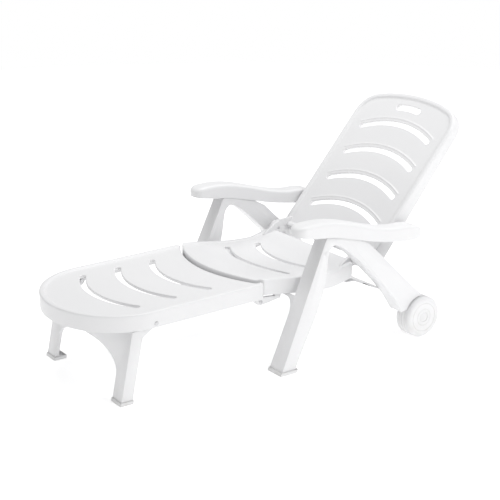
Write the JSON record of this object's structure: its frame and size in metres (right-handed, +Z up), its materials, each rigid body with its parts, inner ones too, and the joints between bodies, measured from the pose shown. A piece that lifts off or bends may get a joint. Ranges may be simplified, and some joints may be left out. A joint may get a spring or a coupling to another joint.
{
  "type": "reclining sun lounger",
  "caption": "Reclining garden sun lounger in moulded plastic with linked armrests, a hinged footrest on a folding arched leg, and wheels at the rear.",
  "frame": {"origin": "on the floor, under the middle of the whole lounger's bounding box", "axes": "+X from the foot to the head, +Y to the sitter's left when lying back, +Z up"},
  "size_m": [1.7684, 0.8124, 0.8974],
  "materials": {
    "white_plastic": "satin white moulded resin",
    "foot_plastic": "soft pale grey plastic",
    "plated_steel": "zinc-plated"
  },
  "bodies": {
    "frame": {"side_frame_left": "white_plastic", "side_frame_right": "white_plastic", "seat_panel": "white_plastic", "front_bridge": "white_plastic", "rear_bridge": "white_plastic", "seat_screw_front_left": "plated_steel", "seat_screw_front_right": "plated_steel", "seat_screw_rear_left": "plated_steel", "seat_screw_rear_right": "plated_steel", "front_bridge_bolt_left": "plated_steel", "front_bridge_bolt_right": "plated_steel", "rear_bridge_bolt_left": "plated_steel", "rear_bridge_bolt_right": "plated_steel", "front_foot_left": "foot_plastic", "front_foot_right": "foot_plastic", "frame_plug_left": "white_plastic", "frame_plug_right": "white_plastic", "axle_left": "plated_steel", "axle_right": "plated_steel", "axle_nut_left": "plated_steel", "axle_nut_right": "plated_steel", "recline_pin_left": "plated_steel", "recline_pin_right": "plated_steel"},
    "backrest": {"backrest_panel": "white_plastic", "armrest_pin_left": "plated_steel", "armrest_pin_right": "plated_steel"},
    "armrest_left": {"armrest_left": "white_plastic"},
    "armrest_right": {"armrest_right": "white_plastic"},
    "footrest": {"footrest_panel": "white_plastic", "footrest_hinge_pin_left": "plated_steel", "footrest_hinge_pin_right": "plated_steel", "footrest_leg_pin_left": "plated_steel", "footrest_leg_pin_right": "plated_steel"},
    "footrest_leg": {"footrest_leg": "white_plastic", "leg_foot_left": "foot_plastic", "leg_foot_right": "foot_plastic"},
    "wheel_left": {"wheel_left": "white_plastic", "hub_cap_left": "white_plastic"},
    "wheel_right": {"wheel_right": "white_plastic", "hub_cap_right": "white_plastic"}
  },
  "joints": [
    {"name": "backrest_recline", "type": "hinge", "parent": "frame", "child": "backrest", "pos_m": [0.3224, 0, 0.345], "axis": [0, 1, 0], "range_deg": [-27, 49]},
    {"name": "armrest_left_pivot", "type": "hinge", "parent": "backrest", "child": "armrest_left", "pos_m": [0.5124, 0.35, 0.445], "axis": [0, 1, 0], "range_deg": [-24.5, 13.5]},
    {"name": "armrest_right_pivot", "type": "hinge", "parent": "backrest", "child": "armrest_right", "pos_m": [0.5124, -0.35, 0.445], "axis": [0, 1, 0], "range_deg": [-24.5, 13.5]},
    {"name": "footrest_fold", "type": "hinge", "parent": "frame", "child": "footrest", "pos_m": [-0.1556, 0, 0.266], "axis": [0, -1, 0], "range_deg": [0, 90]},
    {"name": "footrest_leg_fold", "type": "hinge", "parent": "footrest", "child": "footrest_leg", "pos_m": [-0.61621, 0, 0.28696], "axis": [0, -1, 0], "range_deg": [0, 100]},
    {"name": "wheel_left_spin", "type": "hinge", "parent": "frame", "child": "wheel_left", "pos_m": [0.5694, 0.37, 0.0855], "axis": [0, 1, 0], "continuous": true},
    {"name": "wheel_right_spin", "type": "hinge", "parent": "frame", "child": "wheel_right", "pos_m": [0.5694, -0.37, 0.0855], "axis": [0, 1, 0], "continuous": true}
  ],
  "couplings": [
    {"joint": "armrest_left_pivot", "follows": "backrest_recline", "ratio": -0.5},
    {"joint": "armrest_right_pivot", "follows": "backrest_recline", "ratio": -0.5}
  ]
}
